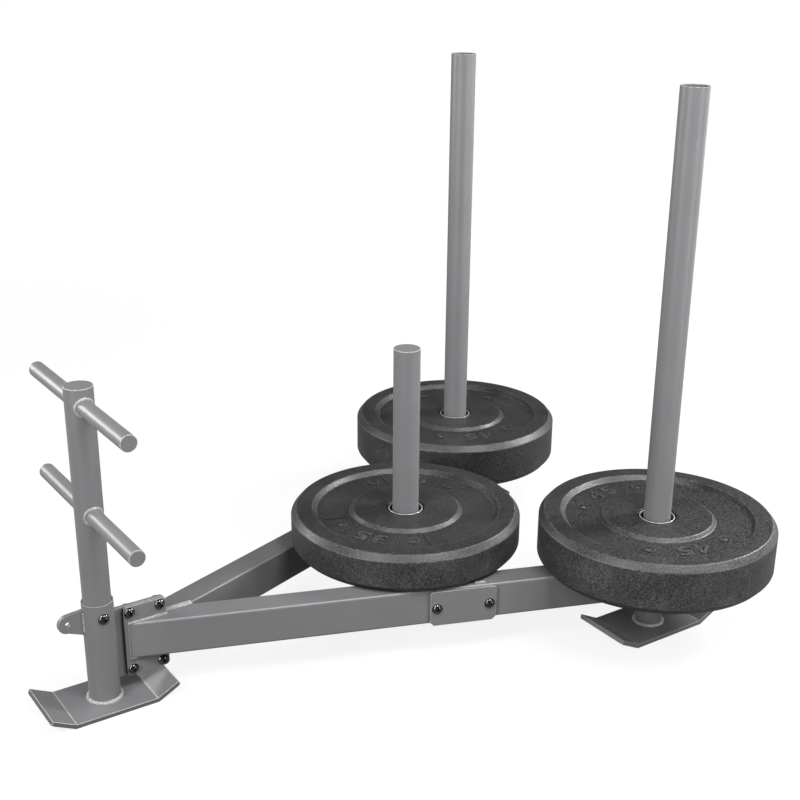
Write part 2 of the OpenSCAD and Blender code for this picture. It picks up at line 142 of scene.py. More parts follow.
def powder_paint():
    """Satin grey powder paint with a slight orange peel.

    A face's number above 0 lightens the coat, as thin paint on edges and beads and as painted
    highlight and painted light; below 0 it darkens the coat towards black, as painted shade.
    """
    material, shader, place = new_finish("grey_powder_paint")
    wear_and_painted_light = place.attribute("wear_and_painted_light")
    clouds = place.grain(90 * mm) * 0.6 + place.grain(7 * mm, 3) * 0.4
    coat = clouds.tint((0.176, 0.176, 0.182), (0.228, 0.228, 0.235))
    wear_and_highlight = wear_and_painted_light * (0.55 + place.grain(4 * mm, 4).between(0.36, 0.62) * 0.45)
    edged = wear_and_highlight.mixed(coat, wear_and_highlight.tint((0.3, 0.3, 0.305), (0.56, 0.56, 0.565)))
    # Below 0 the coat goes towards this black: painted shade.
    shade_black = (0.012, 0.012, 0.012, 1)
    (0 - wear_and_painted_light).mixed(edged, shade_black).feeds(shader, "Base Color")
    (0.38 + place.grain(14 * mm) * 0.08).feeds(shader, "Roughness")
    place.grain(1.6 * mm, 1).bump(0.06 * mm, 0.5).feeds(shader, "Normal")
    shader.inputs["Specular IOR Level"].default_value = 0.5
    return material


def rounded(bm, width, steps=2, turn=40, where=None, clamp=True, shine=1):
    """Rounds edges where faces turn by more than an angle, and lightens the new strips as far as
    shine says, as wear and painted highlight.
    """
    strip_share = 1.1
    wear_and_painted_light = bm.faces.layers.float.get("wear_and_painted_light") or bm.faces.layers.float.new("wear_and_painted_light")
    sharp = [e for e in bm.edges if e.is_manifold and e.calc_face_angle(0) > radians(turn)]
    if where:
        sharp = [e for e in sharp if all(where(v.co) for v in e.verts)]
    made = bmesh.ops.bevel(bm, geom=sharp, offset=width, segments=steps, profile=0.5,
                           affect="EDGES", clamp_overlap=clamp, material=-1)
    for face in made["faces"]:
        if face.calc_area() < strip_share * width * max(e.calc_length() for e in face.edges):
            face[wear_and_painted_light] = shine


def finished(name, bm, material, slot, body, *nodes):
    """Makes an object of a mesh, on a body of the sled and in the place of its CAD nodes."""
    smooth_below = radians(38)
    mesh = bpy.data.meshes.new(name)
    bm.to_mesh(mesh)
    bm.free()
    mesh.shade_smooth()
    mesh.set_sharp_from_angle(angle=smooth_below)
    mesh.materials.append(material)
    made = bpy.data.objects.new(name, mesh)
    bpy.context.scene.collection.objects.link(made)
    flat = made.modifiers.new("flat_faces_stay_flat", "WEIGHTED_NORMAL")
    flat.keep_sharp = True
    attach(made, body)
    if nodes:
        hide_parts(*nodes)
    return made


def joined(bm, reach):
    """Joins corners that lie within reach of each other, then triangles that lie in one plane."""
    in_plane = radians(0.3)
    bmesh.ops.remove_doubles(bm, verts=bm.verts, dist=reach)
    bmesh.ops.dissolve_limit(bm, angle_limit=in_plane, verts=bm.verts, edges=bm.edges)


def copied(node):
    """The mesh of a CAD node with its loose triangles joined into whole faces."""
    same_place = 0.001 * mm
    bm = bmesh.new()
    bm.from_mesh(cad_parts[node].data)
    joined(bm, same_place)
    return bm


def bare_borders(bm, width, area, shine):
    """Lightens a narrow border round each large face as far as shine says, as worn paint and
    painted highlight.
    """
    wear_and_painted_light = bm.faces.layers.float["wear_and_painted_light"]
    large = [face for face in bm.faces if face.calc_area() > area]
    made = bmesh.ops.inset_individual(bm, faces=large, thickness=width, use_even_offset=True)
    for face in made["faces"]:
        face[wear_and_painted_light] = shine


paint = powder_paint()
bend_step = 1 * mm
ski_edge = 0.6 * mm
# Rounded edges, and a narrow border round each large face, are lightened as filed edges with thin
# paint and as painted highlight.
ski_border = 0.7 * mm
border_shine = 0.7
large_face = 2000 * mm ** 2
cut_face = 400 * mm ** 2
# The flaps are darkened as painted shade.
painted_flap_shade = -0.1
# The front ski's ends and sides are darkened as painted shade, and its top a little. The rear skis'
# ends, sides and tops are lightened as painted light, against the shade of the plates above.
for ski, end_shading, side_shading, top_shading in (
        ("front_ski", -0.4, -0.4, -0.1),
        ("near_rear_ski", 0.22, 0.1, 0.25),
        ("far_rear_ski", 0.22, 0.1, 0.25)):
    bm = copied(ski)
    joined(bm, bend_step)
    rounded(bm, ski_edge, turn=20, clamp=False)
    bare_borders(bm, ski_border, large_face, border_shine)
    wear_and_painted_light = bm.faces.layers.float["wear_and_painted_light"]
    for face in bm.faces:
        if face.calc_area() < cut_face:
            continue
        if face.normal.x < -0.5:
            face[wear_and_painted_light] = end_shading
        elif face.normal.y < -0.9:
            face[wear_and_painted_light] = side_shading
        elif face.normal.z > 0.99:
            face[wear_and_painted_light] = top_shading
        elif face.normal.z > 0.5:
            face[wear_and_painted_light] = painted_flap_shade
    finished(ski + "_filed", bm, paint, "frame_paint", "sled", ski)


# Handle socket
# A short tube welded upright on the front ski. The handle post drops into it with a little play,
# and the weld round its foot is one fat, rippled bead.
ripple_pitch = 2.6 * mm
unevenness = 260
bead_step = 0.65 * mm


def turned(bm, section, steps, foot=Vector((0, 0, 0))):
    """Turns a closed section of radius and height round the upright axis through a point."""
    corners = [bm.verts.new(foot + Vector((r, 0, z))) for r, z in section]
    sides = [bm.edges.new((corners[i - 1], corners[i])) for i in range(len(corners))]
    bmesh.ops.spin(bm, geom=corners + sides, cent=foot, axis=(0, 0, 1), angle=2 * pi,
                   steps=steps, use_merge=True)
    bmesh.ops.recalc_face_normals(bm, faces=bm.faces)


def tube(bm, foot, height, outer, inner, steps=96):
    """Adds an upright round tube that stands on a point."""
    turned(bm, [(inner, 0), (outer, 0), (outer, height), (inner, height)], steps, foot)


def weld(bm, path, size, closed=True, ripple=0.07, shine=0.9):
    """Adds a bead of weld along a path, a chain of ripples that vary a little in size.

    Its faces are lightened as far as shine says, as thin paint on the bead and as painted sheen
    on its ripples.
    """
    curve = bpy.data.curves.new("weld", "CURVE")
    curve.dimensions = "3D"
    curve.bevel_depth = size
    curve.bevel_resolution = 3
    curve.use_fill_caps = not closed
    line = curve.splines.new("POLY")
    line.points.add(len(path) - 1)
    run = 0
    last = path[0]
    for point, place in zip(line.points, path):
        run += (place - last).length
        last = place
        point.co = (*place, 1)
        wave = sin(2 * pi * run / ripple_pitch) + 2 * noise.noise(place * unevenness)
        point.radius = 1 + ripple * wave
    line.use_cyclic_u = closed
    thread = bpy.data.objects.new("weld", curve)
    bead = bpy.data.meshes.new_from_object(thread)
    wear_and_painted_light = bm.faces.layers.float.get("wear_and_painted_light") or bm.faces.layers.float.new("wear_and_painted_light")
    others = set(bm.faces)
    bm.from_mesh(bead)
    added = [face for face in bm.faces if face not in others]
    bmesh.ops.recalc_face_normals(bm, faces=added)
    for face in added:
        face[wear_and_painted_light] = shine
    bpy.data.objects.remove(thread)
    bpy.data.curves.remove(curve)
    bpy.data.meshes.remove(bead)


def ring(centre, radius):
    """Points round a level circle, close enough together to carry a weld's ripples."""
    count = round(2 * pi * radius / bead_step)
    return [centre + radius * Vector((cos(2 * pi * i / count), sin(2 * pi * i / count), 0))
            for i in range(count)]


ski_top = 8 * mm
socket_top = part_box("handle_socket")[1].z
socket_radius = 27.25 * mm
socket_bore = 24.95 * mm
tube_edge = 0.5 * mm
foot_weld = 4 * mm
foot_rise = 0.6 * mm
foot_gap = 1.2 * mm
bm = bmesh.new()
tube(bm, Vector((0, 0, ski_top)), socket_top - ski_top, socket_radius, socket_bore)
rounded(bm, tube_edge)
weld(bm, ring(Vector((0, 0, ski_top + foot_rise)), socket_radius + foot_gap), foot_weld)
finished("handle_socket_tube", bm, paint, "frame_paint", "sled", "handle_socket")


# Tow tab and spine plate
# Two flat plates on the sled's centre plane, welded to the front and to the back of the socket.
# The tab has the hole for a tow strap, and the spine takes the bolts that hold the rails.
def filed(node, width, material, slot="frame_paint", where=None):
    """A CAD node as it leaves the workshop, with its sharp edges rounded."""
    bm = copied(node)
    rounded(bm, width, where=where, clamp=False, shine=0.6)
    return finished(node + "_filed", bm, material, slot, "sled", node)


tab_edge = 1 * mm
tab_free_end = -32 * mm
tab_wear = 0.25
tab = filed("tow_tab", tab_edge, paint, where=lambda place: place.x < tab_free_end).data
for face in tab.polygons:
    if face.normal.y < -0.9:
        tab.attributes["wear_and_painted_light"].data[face.index].value = tab_wear
plate_edge = 1.1 * mm
filed("spine_plate", plate_edge, paint)
tab_low, tab_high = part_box("tow_tab")
spine_low, spine_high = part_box("spine_plate")
plate_weld = 2.2 * mm
weld_above = 6 * mm
weld_below = 4 * mm


def straight(start, end):
    """Points along a straight line, close enough together to carry a weld's ripples."""
    count = max(2, round((end - start).length / bead_step))
    return [start.lerp(end, i / count) for i in range(count + 1)]


bm = bmesh.new()
for low, high, way, shine in ((tab_low, tab_high, -1, 0.8), (spine_low, spine_high, 1, 0.1)):
    for side in (low.y, high.y):
        x = way * sqrt(socket_radius ** 2 - side ** 2)
        start = Vector((x, side, low.z + weld_above))
        weld(bm, straight(start, Vector((x, side, high.z - weld_below))), plate_weld,
             closed=False, shine=shine)
finished("socket_plate_welds", bm, paint, "frame_paint", "sled")


# Rails and the plates on their tips
# Two lengths of rectangular tube, mitred together at the front. The near one ends in a flange that
# is bolted to the spine, the far one in a plate behind it. The welds are laid by hand, and a stray
# tack is left on top of the near rail.
tip_edge = 1.3 * mm
# The plates' front ends, which face the socket across a narrow gap, are painted black as painted
# shade.
painted_gap_shade = -1
for node in ("flange_plate", "far_tip_plate"):
    plate = filed(node, tip_edge, paint).data
    for face in plate.polygons:
        if face.normal.x < -0.3:
            plate.attributes["wear_and_painted_light"].data[face.index].value = painted_gap_shade

# The rounded corners between each rail's top and sides are lightened as a painted highlight line.
# The tops, and the far rail's sides, are darkened as painted shade of the plates above.
painted_corner_highlight = 0.5
for node, top_shading, side_shading in (("near_rail", -0.1, 0), ("far_rail", -0.25, -0.15)):
    bm = copied(node)
    wear_and_painted_light = bm.faces.layers.float.new("wear_and_painted_light")
    for face in bm.faces:
        if 0.55 < face.normal.z < 0.85:
            face[wear_and_painted_light] = painted_corner_highlight
        elif face.normal.z > 0.85:
            face[wear_and_painted_light] = top_shading
        else:
            face[wear_and_painted_light] = side_shading
    finished(node + "_tube", bm, paint, "frame_paint", "sled", node)

flange_low, flange_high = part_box("flange_plate")
tip_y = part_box("far_tip_plate")[1].y
rail_weld = 2.8 * mm
tip_weld = 1.8 * mm
bm = bmesh.new()
for rail, y in (("near_rail", flange_low.y), ("far_rail", tip_y)):
    rail_low, rail_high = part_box(rail)
    tip_x = rail_low.x
    for z, shine in ((rail_low.z, 0), (rail_high.z, 0.85)):
        weld(bm, straight(Vector((tip_x, y, z)), Vector((flange_high.x, y, z))), rail_weld,
             closed=False, ripple=0.2, shine=shine)
    weld(bm, straight(Vector((tip_x, y, rail_low.z)), Vector((tip_x, y, rail_high.z))), tip_weld,
         closed=False, ripple=0.16, shine=0.08)
finished("tip_plate_welds", bm, paint, "frame_paint", "sled")

mitre_low, mitre_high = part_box("apex_welds")
seam_weld = 3 * mm
seam_shift = 2.4 * mm
bm = bmesh.new()
for z in (rail_low.z, rail_high.z):
    for shift in (-seam_shift, seam_shift):
        line = straight(Vector((mitre_low.x, shift, z)), Vector((mitre_high.x, shift, z)))
        weld(bm, line, seam_weld, closed=False, ripple=0.13)
finished("apex_weld_beads", bm, paint, "frame_paint", "sled", "apex_welds")

tack_from = Vector((640, -218, 140.5)) * mm
tack_to = Vector((658, -223.5, 140.5)) * mm
tack_weld = 2.4 * mm
bm = bmesh.new()
weld(bm, straight(tack_from, tack_to), tack_weld, closed=False, ripple=0.3, shine=1.2)
finished("near_rail_tack_weld", bm, paint, "frame_paint", "sled")


# Rail end plugs
# Black moulded plastic, one plug for each rail. Its hollow shank is pushed into the open rear end
# of the tube, and its flange covers the cut edge.
def plug_plastic():
    """Black moulded plastic with a fine spark-eroded texture."""
    material, shader, place = new_finish("black_plastic")
    black = place.grain(30 * mm).tint((0.012, 0.012, 0.012), (0.02, 0.02, 0.02))
    black.feeds(shader, "Base Color")
    (0.5 + place.grain(5 * mm) * 0.15).feeds(shader, "Roughness")
    place.grain(0.8 * mm).bump(0.04 * mm, 0.6).feeds(shader, "Normal")
    return material


plug_edge = 0.8 * mm
filed("rail_end_plugs", plug_edge, plug_plastic(), "end_plugs")


# Legs and tall posts
# Round tubes of one size. The legs stand on the rear skis and carry the rails, and the tall posts
# stand on top of the rails, open at the top, to take the weight plates.
post_radius = 25.4 * mm
post_bore = 22.4 * mm
post_weld = 1.7 * mm
post_rise = 0.5 * mm
post_gap = 0.6 * mm
fine_steps = 128
for side in ("near", "far"):
    low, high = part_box(side + "_tall_post")
    axis_x = (low.x + high.x) / 2
    axis_y = (low.y + high.y) / 2
    bm = bmesh.new()
    tube(bm, Vector((axis_x, axis_y, low.z)), high.z - low.z, post_radius, post_bore, fine_steps)
    rounded(bm, tube_edge)
    foot = Vector((axis_x, axis_y, low.z + post_rise))
    weld(bm, ring(foot, post_radius + post_gap), post_weld)
    finished(side + "_tall_post_tube", bm, paint, "frame_paint", "sled", side + "_tall_post")

    bm = bmesh.new()
    tube(bm, Vector((axis_x, axis_y, ski_top)), rail_low.z - ski_top, post_radius, post_bore)
    foot = Vector((axis_x, axis_y, ski_top + foot_rise))
    weld(bm, ring(foot, post_radius + foot_gap), foot_weld, shine=1.3)
    finished(side + "_leg_tube", bm, paint, "frame_paint", "sled", side + "_leg")


# Cross member and brackets
# A steel tube across the V, hidden by the centre plate. Its end plates are bolted through the
# rails to loose outer plates with clipped corners, and it carries the centre post.
member_edge = 0.4 * mm
end_plate_edge = 0.8 * mm
filed("cross_member", member_edge, paint)
for side in ("near", "far"):
    filed(side + "_end_plate", end_plate_edge, paint)
    filed(side + "_bracket_plate", plate_edge, paint)

centre_low, centre_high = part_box("centre_post")
cap_low, cap_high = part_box("centre_post_cap")
centre_x = (cap_low.x + cap_high.x) / 2
centre_foot = Vector((centre_x, 0, centre_low.z))
bm = bmesh.new()
tube(bm, centre_foot, centre_high.z - centre_low.z, post_radius, post_bore, fine_steps)
weld(bm, ring(centre_foot + Vector((0, 0, post_rise)), post_radius + post_gap), post_weld)
finished("centre_post_tube", bm, paint, "frame_paint", "sled", "centre_post")


def disc(bm, centre, radius, height):
    """Adds a closed round disc that stands on a point, and rounds the edge of its top."""
    top_edge = 1.1 * mm
    made = bmesh.ops.create_circle(bm, cap_ends=True, radius=radius, segments=fine_steps)["verts"]
    bmesh.ops.translate(bm, verts=made, vec=centre)
    base = made[0].link_faces[0]
    lifted = bmesh.ops.extrude_face_region(bm, geom=[base], use_keep_orig=True)["geom"]
    top = [v for v in lifted if isinstance(v, bmesh.types.BMVert)]
    bmesh.ops.translate(bm, verts=top, vec=(0, 0, height))
    bmesh.ops.recalc_face_normals(bm, faces=bm.faces)
    rounded(bm, top_edge, 3, where=lambda place: place.z > centre.z + height / 2)


bm = bmesh.new()
disc(bm, Vector((centre_x, 0, cap_low.z)), post_radius, cap_high.z - cap_low.z)
finished("centre_post_top", bm, paint, "frame_paint", "sled", "centre_post_cap")


# Push handle
# A post that stands in the socket, closed by a welded disc, with two grips through it. Each grip
# is a plain tube with a disc in each end, and a saddle of weld holds it on both sides of the post.
handle_radius = 24.15 * mm
handle_bore = 21.55 * mm
grip_radius = 14 * mm
grip_bore = 12 * mm
grip_weld = 2.6 * mm
grip_gap = 0.8 * mm
top_low, top_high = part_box("handle_post_cap")
grips = {name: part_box(name) for name in ("upper_grip", "lower_grip")}


def saddle(z, side):
    """Points round the line where a grip comes out of one side of the handle post."""
    count = round(2 * pi * grip_radius / bead_step)
    points = []
    for i in range(count):
        x = (grip_radius + grip_gap) * cos(2 * pi * i / count)
        rise = (grip_radius + grip_gap) * sin(2 * pi * i / count)
        y = side * (sqrt(handle_radius ** 2 - x ** 2) + grip_gap)
        points.append(Vector((x, y, z + rise)))
    return points


def merged(bm, other):
    """Adds a second bmesh to the first and clears it away."""
    mesh = bpy.data.meshes.new("other")
    other.to_mesh(mesh)
    other.free()
    bm.from_mesh(mesh)
    bpy.data.meshes.remove(mesh)


bm = bmesh.new()
tube(bm, Vector((0, 0, ski_top)), top_low.z - ski_top, handle_radius, handle_bore, fine_steps)
for low, high in grips.values():
    for side in (-1, 1):
        weld(bm, saddle((low.z + high.z) / 2, side), grip_weld)
finished("handle_post_tube", bm, paint, "frame_paint", "sled", "handle_post")

bm = bmesh.new()
disc(bm, Vector((0, 0, top_low.z)), handle_radius, top_high.z - top_low.z)
finished("handle_post_top", bm, paint, "frame_paint", "sled", "handle_post_cap")

disc_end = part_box("grip_end_discs")[1].y
across = Matrix.Rotation(-pi / 2, 4, "X")
covers = bmesh.new()
for name, (low, high) in grips.items():
    axis = Vector((0, 0, (low.z + high.z) / 2))
    bm = bmesh.new()
    tube(bm, Vector((0, 0, low.y)), high.y - low.y, grip_radius, grip_bore)
    bmesh.ops.transform(bm, matrix=Matrix.Translation(axis) @ across, verts=bm.verts)
    finished(name + "_tube", bm, paint, "frame_paint", "sled", name)
    for turn in (0, pi):
        end = bmesh.new()
        disc(end, Vector((0, 0, high.y)), grip_radius, disc_end - high.y)
        place = Matrix.Translation(axis) @ Matrix.Rotation(turn, 4, "Z") @ across
        bmesh.ops.transform(end, matrix=place, verts=end.verts)
        merged(covers, end)
finished("grip_end_covers", covers, paint, "frame_paint", "sled", "grip_end_discs")


# Bolts, washers and nuts
# Button-head bolts with a hexagon socket, of blacked and oiled steel, with lock nuts. One goes
# through the handle post, four through the flange and two through each bracket.
def blacked_steel():
    """Oiled black steel, glossy where it was handled."""
    material, shader, place = new_finish("blacked_steel")
    black = place.grain(6 * mm).tint((0.003, 0.003, 0.003), (0.009, 0.009, 0.009))
    black.feeds(shader, "Base Color")
    (0.05 + place.grain(3 * mm, 4) * 0.12).feeds(shader, "Roughness")
    place.grain(0.7 * mm).bump(0.02 * mm, 0.5).feeds(shader, "Normal")
    shader.inputs["Specular IOR Level"].default_value = 1
    return material


blacked = blacked_steel()
bolt_edge = 0.25 * mm
for node in ("handle_bolt", "flange_bolts", "bracket_bolts", "handle_nut", "flange_nuts",
             "bracket_nuts", "flange_washers", "bracket_washers"):
    filed(node, bolt_edge, blacked, "black_fasteners")


# Weight plates
# Bumper plates pressed from rubber crumb round a steel sleeve, which slides over a post. Each has a
# flat rim with a chamfer, a sunk ring with numbers and bosses moulded on it, and a raised hub.
# Crumbs of many greys show as fine specks all over.
def crumb_rubber():
    """Dark crumb rubber: light specks, cloudy patches of dust and a rough skin.

    A face's number above 0 lightens it, as scuffs and as painted highlight on edges and numbers;
    below 0 it goes to black as painted shade, round the sleeve, on the lower chamfer and on the
    sides of the numbers. Their number dusted is 1 on the plate's side, where the crumbs show more
    and dust from the floor sticks.
    """
    material, shader, place = new_finish("crumb_rubber")
    wear_and_painted_light = place.attribute("wear_and_painted_light")
    dusted = place.attribute("dusted")
    crumb = place.grain(3.1 * mm, 5).between(0.4, 0.6)
    clouds = place.grain(60 * mm, 4).between(0.35, 0.65)
    tone = crumb * (0.5 + dusted * 0.34) + clouds * 0.16 + (1 - dusted) * 0.17
    base = tone.tint((0.003, 0.003, 0.003), (0.052, 0.052, 0.053))
    specks = place.grain(3 * mm, 1).between(0.62, 0.7) * 0.5
    flecked = specks.mixed(base, tone.tint((0.12, 0.12, 0.12), (0.18, 0.18, 0.18)))
    dust = place.grain(75 * mm, 3).between(0.5, 0.72) * place.grain(5 * mm, 3).between(0.36, 0.66)
    dust = dust * (dusted * 0.55 + 0.15)
    dusty = dust.mixed(flecked, crumb.tint((0.1, 0.1, 0.1), (0.15, 0.15, 0.15)))
    edge = wear_and_painted_light * place.grain(5 * mm, 3).between(0.36, 0.62) * 0.4
    edged = edge.mixed(dusty, crumb.tint((0.12, 0.12, 0.12), (0.2, 0.2, 0.2)))
    # Below 0 the rubber goes towards this black: painted shade.
    rubber_shade_black = (0.003, 0.003, 0.003, 1)
    (0 - wear_and_painted_light).mixed(edged, rubber_shade_black).feeds(shader, "Base Color")
    (0.38 + crumb * 0.14).feeds(shader, "Roughness")
    skin = place.grain(2.2 * mm, 3) + place.grain(6 * mm) * 0.2
    skin.bump(0.4 * mm, 0.7).feeds(shader, "Normal")
    shader.inputs["Specular IOR Level"].default_value = 0.72
    return material


def turned_steel():
    """Steel sleeve: bright where its lip was turned, dark inside as mill scale and painted shade of
    the bore.
    """
    material, shader, place = new_finish("turned_steel")
    wear_and_painted_light = place.attribute("wear_and_painted_light")
    lip = place.grain(12 * mm).tint((0.62, 0.62, 0.63), (0.74, 0.74, 0.75))
    scale_and_bore_shade = place.grain(9 * mm, 3).tint((0.02, 0.02, 0.02), (0.06, 0.06, 0.06))
    wear_and_painted_light.mixed(scale_and_bore_shade, lip).feeds(shader, "Base Color")
    (wear_and_painted_light * 0.5).feeds(shader, "Metallic")
    (0.5 - wear_and_painted_light * 0.24 + place.grain(2 * mm, 3) * 0.12).feeds(shader, "Roughness")
    place.grain(0.6 * mm).bump(0.02 * mm, 0.4).feeds(shader, "Normal")
    return material


chamfer_r = 10 * mm
chamfer_z = 12 * mm
rim_r = 181 * mm
slope_r = 8 * mm
recess = 9 * mm
hub_r = 109 * mm
hub_slope = 6 * mm
hub_drop = 2 * mm
hub_dish = 2.8 * mm
moulded_edge = 1.6 * mm
plate_steps = 256
lip_r = 33.6 * mm
lip_drop = 5.5 * mm
lip_t = 8 * mm
lip_edge = 2.2 * mm
lip_gap = 2.2 * mm
sleeve_r = 29 * mm
bore_r = 26.2 * mm
sleeve_edge = 0.5 * mm
ring_at = 141 * mm
ring_r = 11.5 * mm
ring_wall = 2.5 * mm
ring_height = 1.5 * mm
ring_edge = 0.5 * mm
ring_steps = 48
button_r = 4 * mm
button_bore = 0.2 * mm
button_dome = 0.6
button_steps = 24
rib_l = 44 * mm
rib_t = 1.6 * mm
number_size = 46 * mm
number_stretch = 1.35
number_space = 1.15
number_height = 2.2 * mm
number_swell = 0.5 * mm
number_edge = 0.6 * mm

# Angles are in degrees round the plate. Each plate is turned on its post, and has its own number.
# Only the centre one has ribs, one on each side of a boss.
rib_reach = 11
ring_angles = (0, 66, 202, 268)
number_angles = (33, 235)
plates = {"near": (-140, "45", False), "far": (20, "45", False), "centre": (176, "35", True)}

# How far faces are lightened (above 0) or darkened (below 0), and how near an edge counts as
# # beside it. The dark rim round the sleeve, the dark lower chamfer and the dark sides of the
# numbers
# # are painted shade; the light bevels of the numbers are painted highlight, and their light tops
# # scuffs and painted sheen.
painted_recess_shade = -0.8
painted_underside_shade = -0.85
painted_mark_side_shade = -0.9
painted_mark_highlight = 2
mark_top_scuff_and_sheen = 0.8
margin = 1 * mm


def both_faces(upper):
    """A closed section from its upper half, whose mirror image is the lower half."""
    return upper + [(r, -z) for r, z in reversed(upper)]


def moulded_number(bm, text, angle, floor):
    """Adds a raised number to the sunk ring, bent round the plate with its top towards the rim."""
    letters = bpy.data.curves.new("number", "FONT")
    letters.body = text
    letters.size = number_size
    letters.align_x = "CENTER"
    letters.align_y = "CENTER"
    letters.extrude = number_height / 2
    letters.offset = number_swell
    letters.bevel_depth = number_edge
    letters.space_character = number_space
    letters.resolution_u = 4
    holder = bpy.data.objects.new("number", letters)
    mesh = bpy.data.meshes.new_from_object(holder)
    for vertex in mesh.vertices:
        x, y, z = vertex.co
        turn = radians(angle) - x * number_stretch / ring_at
        vertex.co = ((ring_at + y) * cos(turn), (ring_at + y) * sin(turn), floor + z)
    bm.from_mesh(mesh)
    bpy.data.objects.remove(holder)
    bpy.data.curves.remove(letters)
    bpy.data.meshes.remove(mesh)


def moulded_marks(turn, text, floor, ribbed):
    """The numbers, ring bosses and ribs on the floor of the sunk ring, for both faces."""
    marks = bmesh.new()
    for angle in number_angles:
        moulded_number(marks, text, turn + angle, floor)
    inner = ring_r - ring_wall
    top = floor + ring_height
    middle = floor + ring_height / 2
    peak = floor + ring_height * button_dome
    for angle in ring_angles:
        boss = bmesh.new()
        turned(boss, [(inner, floor), (ring_r, floor), (ring_r, top), (inner, top)], ring_steps)
        turned(boss, [(button_bore, floor), (button_r, floor), (button_r * button_dome, middle),
                      (button_bore, peak)], button_steps)
        rounded(boss, ring_edge, where=lambda place: place.z > middle)
        place = Matrix.Rotation(radians(turn + angle), 4, "Z")
        place @= Matrix.Translation((ring_at, 0, 0))
        bmesh.ops.transform(boss, matrix=place, verts=boss.verts)
        for way in (-1, 1) if ribbed else ():
            place = Matrix.Rotation(radians(turn + angle + way * rib_reach), 4, "Z")
            place @= Matrix.Translation((ring_at, 0, middle))
            place @= Matrix.Diagonal((rib_l, rib_t, ring_height, 1))
            bmesh.ops.create_cube(boss, matrix=place)
        merged(marks, boss)
    other_face = bmesh.ops.duplicate(marks, geom=marks.verts[:] + marks.edges[:] + marks.faces[:])
    verts = [v for v in other_face["geom"] if isinstance(v, bmesh.types.BMVert)]
    bmesh.ops.rotate(marks, verts=verts, matrix=Matrix.Rotation(pi, 3, "X"))
    return marks


rubber = crumb_rubber()
bright = turned_steel()
for name, (turn, text, ribbed) in plates.items():
    low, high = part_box(name + "_plate_rubber")
    middle = Matrix.Translation((low + high) / 2)
    half = (high.z - low.z) / 2
    outer = (high.x - low.x) / 2
    floor = half - recess
    hub_top = half - hub_drop
    lip_top = half - lip_drop
    lip_foot = lip_top - lip_t

    bm = bmesh.new()
    turned(bm, both_faces([
        (outer, half - chamfer_z), (outer - chamfer_r, half), (rim_r, half),
        (rim_r - slope_r, floor), (hub_r, floor), (hub_r - hub_slope, hub_top),
        (lip_r + lip_gap, hub_top - hub_dish), (lip_r + lip_gap, lip_foot),
        (sleeve_r, lip_foot)]), plate_steps)
    rounded(bm, moulded_edge, 3, turn=25)
    wear_and_painted_light = bm.faces.layers.float["wear_and_painted_light"]
    dusted = bm.faces.layers.float.new("dusted")
    for face in bm.faces:
        spot = face.calc_center_median()
        reach = spot.xy.length
        # Round the sleeve's hole the rounded edges go black as painted shade of that recess, and
        # the lower chamfer goes black as painted shade under the plate.
        if reach < lip_r + 3 * lip_gap and face[wear_and_painted_light]:
            face[wear_and_painted_light] = painted_recess_shade
        if reach > outer - chamfer_r and spot.z < chamfer_z - half + margin:
            face[wear_and_painted_light] = painted_underside_shade
        if reach > outer - margin and abs(face.normal.z) < 0.2:
            face[dusted] = 1
    plain = set(bm.faces)
    merged(bm, moulded_marks(turn, text, floor, ribbed))
    # On the numbers and bosses the sides go black as painted shade, the bevels light as painted
    # highlight, and the tops a little light as scuffs and painted sheen.
    for face in bm.faces:
        if face in plain:
            continue
        level = abs(face.normal.z)
        if level < 0.4:
            face[wear_and_painted_light] = painted_mark_side_shade
        elif level < 0.97:
            face[wear_and_painted_light] = painted_mark_highlight
        else:
            face[wear_and_painted_light] = mark_top_scuff_and_sheen
    bmesh.ops.transform(bm, matrix=middle, verts=bm.verts)
    finished(name + "_plate_moulding", bm, rubber, "plate_rubber",
             name + "_plate", name + "_plate_rubber")

    bm = bmesh.new()
    turned(bm, both_faces([
        (bore_r, lip_foot), (lip_r - lip_edge, lip_top), (lip_r, lip_top), (lip_r, lip_foot),
        (sleeve_r, lip_foot)]), fine_steps)
    rounded(bm, sleeve_edge, 3)
    # The lip's top is bright turned steel; the rest stays dark, as mill scale and painted shade in
    # the bore.
    wear_and_painted_light = bm.faces.layers.float["wear_and_painted_light"]
    for face in bm.faces:
        face[wear_and_painted_light] = abs(face.calc_center_median().z) > lip_top - sleeve_edge
    bmesh.ops.transform(bm, matrix=middle, verts=bm.verts)
    finished(name + "_plate_sleeve", bm, bright, "plate_insert",
             name + "_plate", name + "_plate_insert")


# Studio
# A pale floor without a horizon in white surroundings, and seven soft lamps: two large ones over
# the near side, two upright strips for the posts' highlights, and three from behind and the right.
# The camera stands where the photograph was taken from.
floor_size = 200.0
fade_reach = 10.0
lit_share = 0.13
mirror_share = 0.12
far_share = 0.3
fill = 0.02
white = (1, 1, 1, 1)


def ray_kinds(tree):
    """Wires that are 1 for rays from the camera, and 1 for rays off a mirror or through glass."""
    path = tree.nodes.new("ShaderNodeLightPath")
    mirrored = Wire(tree, path.outputs["Is Glossy Ray"])
    mirrored += Wire(tree, path.outputs["Is Transmission Ray"])
    return Wire(tree, path.outputs["Is Camera Ray"]), mirrored


mesh = bpy.data.meshes.new("floor")
bm = bmesh.new()
bmesh.ops.create_grid(bm, x_segments=1, y_segments=1, size=floor_size / 2)
bm.to_mesh(mesh)
bm.free()
floor = bpy.data.objects.new("floor", mesh)
bpy.context.scene.collection.objects.link(floor)

